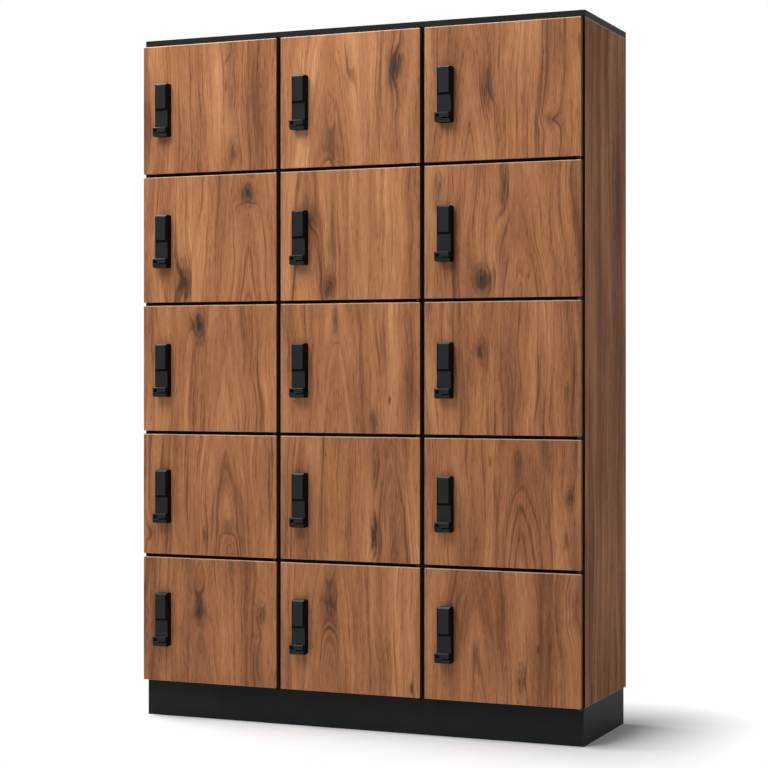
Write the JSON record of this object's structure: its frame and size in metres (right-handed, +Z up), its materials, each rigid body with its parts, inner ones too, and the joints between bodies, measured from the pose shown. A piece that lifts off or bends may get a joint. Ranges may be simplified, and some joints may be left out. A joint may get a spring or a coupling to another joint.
{
  "type": "wooden locker",
  "caption": "Tall walnut-faced locker with a grid of pivot-hung doors, each with a black lock and turning latch lever, on a black plinth under a black top.",
  "frame": {"origin": "on the floor, under the middle of the overall box, locks included", "axes": "+Z up, doors face -Y, +X to the right of a person facing the doors"},
  "size_m": [1.225, 0.404, 1.802],
  "materials": {
    "walnut": "walnut woodgrain melamine, satin",
    "black_board": "black melamine, matt",
    "lock_black": "moulded, satin",
    "black_steel": "black powder coat",
    "steel": "zinc plated",
    "rubber": "soft, matt"
  },
  "bodies": {
    "carcass": {"top_panel": "black_board", "left_end_panel": "walnut", "right_end_panel": "walnut", "left_divider": "black_board", "right_divider": "black_board", "bottom_panel": "black_board", "back_panel": "black_board", "shelves": "black_board", "plinth_front_rail": "black_board", "plinth_back_rail": "black_board", "plinth_cross_rails": "black_board", "hinge_brackets": "black_steel", "hinge_pins": "steel", "strike_plates": "steel", "door_buffers": "rubber"},
    "left_1_door": {"door_left_1": "walnut", "lock_left_1": "lock_black"},
    "left_1_latch": {"latch_left_1": "lock_black"},
    "left_2_door": {"door_left_2": "walnut", "lock_left_2": "lock_black"},
    "left_2_latch": {"latch_left_2": "lock_black"},
    "left_3_door": {"door_left_3": "walnut", "lock_left_3": "lock_black"},
    "left_3_latch": {"latch_left_3": "lock_black"},
    "left_4_door": {"door_left_4": "walnut", "lock_left_4": "lock_black"},
    "left_4_latch": {"latch_left_4": "lock_black"},
    "left_5_door": {"door_left_5": "walnut", "lock_left_5": "lock_black"},
    "left_5_latch": {"latch_left_5": "lock_black"},
    "middle_1_door": {"door_middle_1": "walnut", "lock_middle_1": "lock_black"},
    "middle_1_latch": {"latch_middle_1": "lock_black"},
    "middle_2_door": {"door_middle_2": "walnut", "lock_middle_2": "lock_black"},
    "middle_2_latch": {"latch_middle_2": "lock_black"},
    "middle_3_door": {"door_middle_3": "walnut", "lock_middle_3": "lock_black"},
    "middle_3_latch": {"latch_middle_3": "lock_black"},
    "middle_4_door": {"door_middle_4": "walnut", "lock_middle_4": "lock_black"},
    "middle_4_latch": {"latch_middle_4": "lock_black"},
    "middle_5_door": {"door_middle_5": "walnut", "lock_middle_5": "lock_black"},
    "middle_5_latch": {"latch_middle_5": "lock_black"},
    "right_1_door": {"door_right_1": "walnut", "lock_right_1": "lock_black"},
    "right_1_latch": {"latch_right_1": "lock_black"},
    "right_2_door": {"door_right_2": "walnut", "lock_right_2": "lock_black"},
    "right_2_latch": {"latch_right_2": "lock_black"},
    "right_3_door": {"door_right_3": "walnut", "lock_right_3": "lock_black"},
    "right_3_latch": {"latch_right_3": "lock_black"},
    "right_4_door": {"door_right_4": "walnut", "lock_right_4": "lock_black"},
    "right_4_latch": {"latch_right_4": "lock_black"},
    "right_5_door": {"door_right_5": "walnut", "lock_right_5": "lock_black"},
    "right_5_latch": {"latch_right_5": "lock_black"}
  },
  "joints": [
    {"name": "left_1_door_swing", "type": "hinge", "parent": "carcass", "child": "left_1_door", "pos_m": [-0.22248, -0.1705, 1.61286], "axis": [0, 0, 1], "range_deg": [0, 100]},
    {"name": "left_1_lever_turn", "type": "hinge", "parent": "left_1_door", "child": "left_1_latch", "pos_m": [-0.531, -0.178, 1.55871], "axis": [0, -1, 0], "range_deg": [0, 90]},
    {"name": "left_2_door_swing", "type": "hinge", "parent": "carcass", "child": "left_2_door", "pos_m": [-0.22248, -0.1705, 1.26772], "axis": [0, 0, 1], "range_deg": [0, 100]},
    {"name": "left_2_lever_turn", "type": "hinge", "parent": "left_2_door", "child": "left_2_latch", "pos_m": [-0.531, -0.178, 1.21082], "axis": [0, -1, 0], "range_deg": [0, 90]},
    {"name": "left_3_door_swing", "type": "hinge", "parent": "carcass", "child": "left_3_door", "pos_m": [-0.22248, -0.1705, 0.92621], "axis": [0, 0, 1], "range_deg": [0, 100]},
    {"name": "left_3_lever_turn", "type": "hinge", "parent": "left_3_door", "child": "left_3_latch", "pos_m": [-0.531, -0.178, 0.86931], "axis": [0, -1, 0], "range_deg": [0, 90]},
    {"name": "left_4_door_swing", "type": "hinge", "parent": "carcass", "child": "left_4_door", "pos_m": [-0.22248, -0.1705, 0.5922], "axis": [0, 0, 1], "range_deg": [0, 100]},
    {"name": "left_4_lever_turn", "type": "hinge", "parent": "left_4_door", "child": "left_4_latch", "pos_m": [-0.531, -0.178, 0.5353], "axis": [0, -1, 0], "range_deg": [0, 90]},
    {"name": "left_5_door_swing", "type": "hinge", "parent": "carcass", "child": "left_5_door", "pos_m": [-0.22248, -0.1705, 0.2601], "axis": [0, 0, 1], "range_deg": [0, 100]},
    {"name": "left_5_lever_turn", "type": "hinge", "parent": "left_5_door", "child": "left_5_latch", "pos_m": [-0.531, -0.178, 0.20921], "axis": [0, -1, 0], "range_deg": [0, 90]},
    {"name": "middle_1_door_swing", "type": "hinge", "parent": "carcass", "child": "middle_1_door", "pos_m": [0.17854, -0.1705, 1.61286], "axis": [0, 0, 1], "range_deg": [0, 100]},
    {"name": "middle_1_lever_turn", "type": "hinge", "parent": "middle_1_door", "child": "middle_1_latch", "pos_m": [-0.12998, -0.178, 1.55871], "axis": [0, -1, 0], "range_deg": [0, 90]},
    {"name": "middle_2_door_swing", "type": "hinge", "parent": "carcass", "child": "middle_2_door", "pos_m": [0.17854, -0.1705, 1.26772], "axis": [0, 0, 1], "range_deg": [0, 100]},
    {"name": "middle_2_lever_turn", "type": "hinge", "parent": "middle_2_door", "child": "middle_2_latch", "pos_m": [-0.12998, -0.178, 1.21082], "axis": [0, -1, 0], "range_deg": [0, 90]},
    {"name": "middle_3_door_swing", "type": "hinge", "parent": "carcass", "child": "middle_3_door", "pos_m": [0.17854, -0.1705, 0.92621], "axis": [0, 0, 1], "range_deg": [0, 100]},
    {"name": "middle_3_lever_turn", "type": "hinge", "parent": "middle_3_door", "child": "middle_3_latch", "pos_m": [-0.12998, -0.178, 0.86931], "axis": [0, -1, 0], "range_deg": [0, 90]},
    {"name": "middle_4_door_swing", "type": "hinge", "parent": "carcass", "child": "middle_4_door", "pos_m": [0.17854, -0.1705, 0.5922], "axis": [0, 0, 1], "range_deg": [0, 100]},
    {"name": "middle_4_lever_turn", "type": "hinge", "parent": "middle_4_door", "child": "middle_4_latch", "pos_m": [-0.12998, -0.178, 0.5353], "axis": [0, -1, 0], "range_deg": [0, 90]},
    {"name": "middle_5_door_swing", "type": "hinge", "parent": "carcass", "child": "middle_5_door", "pos_m": [0.17854, -0.1705, 0.2601], "axis": [0, 0, 1], "range_deg": [0, 100]},
    {"name": "middle_5_lever_turn", "type": "hinge", "parent": "middle_5_door", "child": "middle_5_latch", "pos_m": [-0.12998, -0.178, 0.20921], "axis": [0, -1, 0], "range_deg": [0, 90]},
    {"name": "right_1_door_swing", "type": "hinge", "parent": "carcass", "child": "right_1_door", "pos_m": [0.6015, -0.1705, 1.61286], "axis": [0, 0, 1], "range_deg": [0, 100]},
    {"name": "right_1_lever_turn", "type": "hinge", "parent": "right_1_door", "child": "right_1_latch", "pos_m": [0.27104, -0.178, 1.55871], "axis": [0, -1, 0], "range_deg": [0, 90]},
    {"name": "right_2_door_swing", "type": "hinge", "parent": "carcass", "child": "right_2_door", "pos_m": [0.6015, -0.1705, 1.26772], "axis": [0, 0, 1], "range_deg": [0, 100]},
    {"name": "right_2_lever_turn", "type": "hinge", "parent": "right_2_door", "child": "right_2_latch", "pos_m": [0.27104, -0.178, 1.21082], "axis": [0, -1, 0], "range_deg": [0, 90]},
    {"name": "right_3_door_swing", "type": "hinge", "parent": "carcass", "child": "right_3_door", "pos_m": [0.6015, -0.1705, 0.92621], "axis": [0, 0, 1], "range_deg": [0, 100]},
    {"name": "right_3_lever_turn", "type": "hinge", "parent": "right_3_door", "child": "right_3_latch", "pos_m": [0.27104, -0.178, 0.86931], "axis": [0, -1, 0], "range_deg": [0, 90]},
    {"name": "right_4_door_swing", "type": "hinge", "parent": "carcass", "child": "right_4_door", "pos_m": [0.6015, -0.1705, 0.5922], "axis": [0, 0, 1], "range_deg": [0, 100]},
    {"name": "right_4_lever_turn", "type": "hinge", "parent": "right_4_door", "child": "right_4_latch", "pos_m": [0.27104, -0.178, 0.5353], "axis": [0, -1, 0], "range_deg": [0, 90]},
    {"name": "right_5_door_swing", "type": "hinge", "parent": "carcass", "child": "right_5_door", "pos_m": [0.6015, -0.1705, 0.2601], "axis": [0, 0, 1], "range_deg": [0, 100]},
    {"name": "right_5_lever_turn", "type": "hinge", "parent": "right_5_door", "child": "right_5_latch", "pos_m": [0.27104, -0.178, 0.20921], "axis": [0, -1, 0], "range_deg": [0, 90]}
  ]
}
